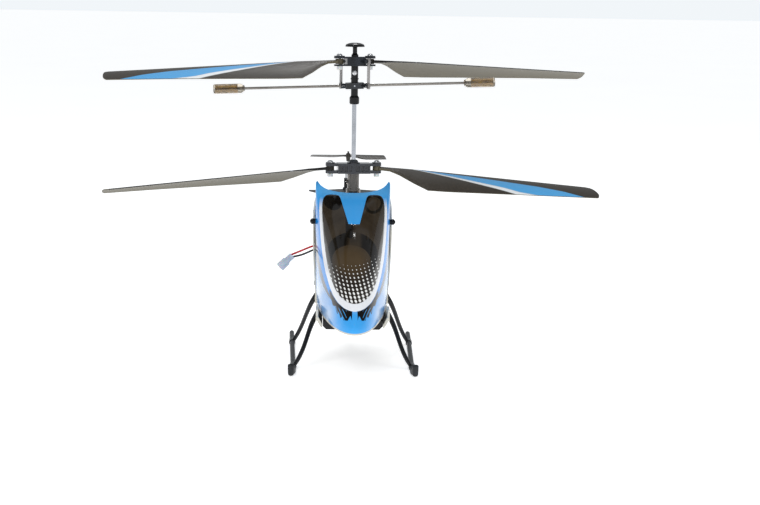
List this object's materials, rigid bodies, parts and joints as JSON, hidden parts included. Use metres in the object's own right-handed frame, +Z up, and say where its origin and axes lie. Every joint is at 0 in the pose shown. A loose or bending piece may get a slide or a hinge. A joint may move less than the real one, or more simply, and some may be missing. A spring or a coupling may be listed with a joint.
{
  "type": "remote control helicopter",
  "caption": "Coaxial toy helicopter with a bullet-shaped canopy, stacked rotors that turn opposite ways, a teetering flybar, skids and a flat-lying tail propeller.",
  "frame": {"origin": "middle of the whole model's box, on the surface that the skids stand on", "axes": "+Z up along the rotor mast, nose towards -Y, +X to the right in the view from the front"},
  "size_m": [0.461, 0.432, 0.2877],
  "materials": {
    "blue_shell": "gloss, printed",
    "smoked_window": "high gloss",
    "cream_plastic": "satin",
    "black_plastic": "satin moulded",
    "grey_black_plastic": "satin moulded",
    "smoked_plastic": "translucent smoked",
    "blade_plastic": "printed film",
    "steel": "polished",
    "bright_screw": "bright",
    "brass": "dull",
    "white_nylon": "satin",
    "clear_smoke": "clear, smoked",
    "motor_can": "drawn can",
    "rubber": "matt",
    "battery_wrap": "shrink wrap",
    "circuit_board": "solder mask",
    "red_wire": "soft sleeve",
    "black_wire": "soft sleeve"
  },
  "bodies": {
    "airframe": {"main_frame": "grey_black_plastic", "canopy": "blue_shell", "windscreen": "smoked_window", "canopy_grommets": "rubber", "left_body_cover": "cream_plastic", "right_body_cover": "cream_plastic", "cover_screws": "bright_screw", "belly_tray": "black_plastic", "left_front_strut": "black_plastic", "left_rear_strut": "black_plastic", "right_front_strut": "black_plastic", "right_rear_strut": "black_plastic", "left_skid_runner": "grey_black_plastic", "right_skid_runner": "grey_black_plastic", "runner_toe_caps": "rubber", "battery_pack": "battery_wrap", "control_board": "circuit_board", "power_switch": "black_plastic", "red_lead": "red_wire", "black_lead": "black_wire", "lead_plug": "white_nylon", "main_motors": "motor_can", "shaft_bearings": "steel", "tail_boom": "black_plastic", "tail_mount": "grey_black_plastic", "tail_motor": "motor_can", "tail_fins": "grey_black_plastic"},
    "lower_rotor": {"outer_shaft": "smoked_plastic", "outer_shaft_gear": "white_nylon", "lower_hub_sleeve": "smoked_plastic", "hub_set_screw": "black_plastic", "lower_yoke": "smoked_plastic", "shaft_bearing_cap": "smoked_plastic", "lower_blade_bolts": "bright_screw", "lower_blade_nuts": "white_nylon"},
    "lower_left_blade": {"lower_blade_left": "blade_plastic"},
    "lower_right_blade": {"lower_blade_right": "blade_plastic"},
    "upper_rotor": {"inner_shaft": "steel", "inner_shaft_gear": "white_nylon", "head_column": "black_plastic", "head_pins": "steel", "column_screw": "bright_screw", "head_collar": "black_plastic", "top_cap": "black_plastic"},
    "flybar": {"flybar_hub": "smoked_plastic", "flybar_rods": "black_plastic", "flybar_weight_shells": "clear_smoke", "flybar_weight_slugs": "brass"},
    "feathering_yoke": {"upper_yoke": "smoked_plastic", "upper_blade_bolts": "bright_screw", "upper_blade_nuts": "white_nylon"},
    "upper_left_blade": {"upper_blade_left": "blade_plastic"},
    "upper_right_blade": {"upper_blade_right": "blade_plastic"},
    "front_link": {"link_front": "clear_smoke"},
    "rear_link": {"link_rear": "clear_smoke"},
    "left_pinion": {"pinion_left": "brass"},
    "right_pinion": {"pinion_right": "brass"},
    "tail_rotor": {"tail_propeller": "blade_plastic"},
    "switch_slider": {"switch_knob": "white_nylon"}
  },
  "joints": [
    {"name": "lower_rotor_spin", "type": "hinge", "parent": "airframe", "child": "lower_rotor", "pos_m": [0, -0.075, 0.17255], "axis": [0, 0, 1], "continuous": true},
    {"name": "upper_rotor_spin", "type": "hinge", "parent": "airframe", "child": "upper_rotor", "pos_m": [0, -0.075, 0.2706], "axis": [0, 0, 1], "continuous": true},
    {"name": "left_pinion_spin", "type": "hinge", "parent": "airframe", "child": "left_pinion", "pos_m": [-0.01697, -0.09197, 0.072], "axis": [0, 0, 1], "continuous": true},
    {"name": "right_pinion_spin", "type": "hinge", "parent": "airframe", "child": "right_pinion", "pos_m": [0.01697, -0.09197, 0.084], "axis": [0, 0, 1], "continuous": true},
    {"name": "tail_rotor_spin", "type": "hinge", "parent": "airframe", "child": "tail_rotor", "pos_m": [0, 0.205, 0.1555], "axis": [0, 0, 1], "continuous": true},
    {"name": "flybar_teeter", "type": "hinge", "parent": "upper_rotor", "child": "flybar", "pos_m": [0, -0.075, 0.2485], "axis": [0, 1, 0], "range_deg": [-10, 12]},
    {"name": "upper_yoke_feather", "type": "hinge", "parent": "upper_rotor", "child": "feathering_yoke", "pos_m": [0, -0.075, 0.2706], "axis": [0.9703, 0.2419, 0], "range_deg": [-10, 12]},
    {"name": "front_link_pivot", "type": "hinge", "parent": "feathering_yoke", "child": "front_link", "pos_m": [0.0124, -0.0847, 0.27108], "axis": [0.9703, 0.2419, 0], "range_deg": [-12, 10]},
    {"name": "rear_link_pivot", "type": "hinge", "parent": "feathering_yoke", "child": "rear_link", "pos_m": [-0.0124, -0.0653, 0.27012], "axis": [0.9703, 0.2419, 0], "range_deg": [-12, 10]},
    {"name": "upper_left_blade_fold", "type": "hinge", "parent": "feathering_yoke", "child": "upper_left_blade", "pos_m": [-0.01407, -0.07851, 0.2706], "axis": [-0.0093, 0.0372, 0.9993], "range_deg": [-8, 80]},
    {"name": "upper_right_blade_fold", "type": "hinge", "parent": "feathering_yoke", "child": "upper_right_blade", "pos_m": [0.01407, -0.07149, 0.2706], "axis": [-0.0093, 0.0372, 0.9993], "range_deg": [-8, 80]},
    {"name": "lower_left_blade_fold", "type": "hinge", "parent": "lower_rotor", "child": "lower_left_blade", "pos_m": [-0.02148, -0.07726, 0.17255], "axis": [0, 0, 1], "range_deg": [-80, 8]},
    {"name": "lower_right_blade_fold", "type": "hinge", "parent": "lower_rotor", "child": "lower_right_blade", "pos_m": [0.02148, -0.07274, 0.17255], "axis": [0, 0, 1], "range_deg": [-80, 8]},
    {"name": "power_switch_slide", "type": "slide", "parent": "airframe", "child": "switch_slider", "axis": [0, 1, 0], "range_m": [0, 0.002]}
  ],
  "couplings": [
    {"joint": "left_pinion_spin", "follows": "upper_rotor_spin", "ratio": -4},
    {"joint": "right_pinion_spin", "follows": "lower_rotor_spin", "ratio": -4},
    {"joint": "upper_yoke_feather", "follows": "flybar_teeter", "ratio": 1},
    {"joint": "front_link_pivot", "follows": "flybar_teeter", "ratio": -1},
    {"joint": "rear_link_pivot", "follows": "flybar_teeter", "ratio": -1}
  ]
}
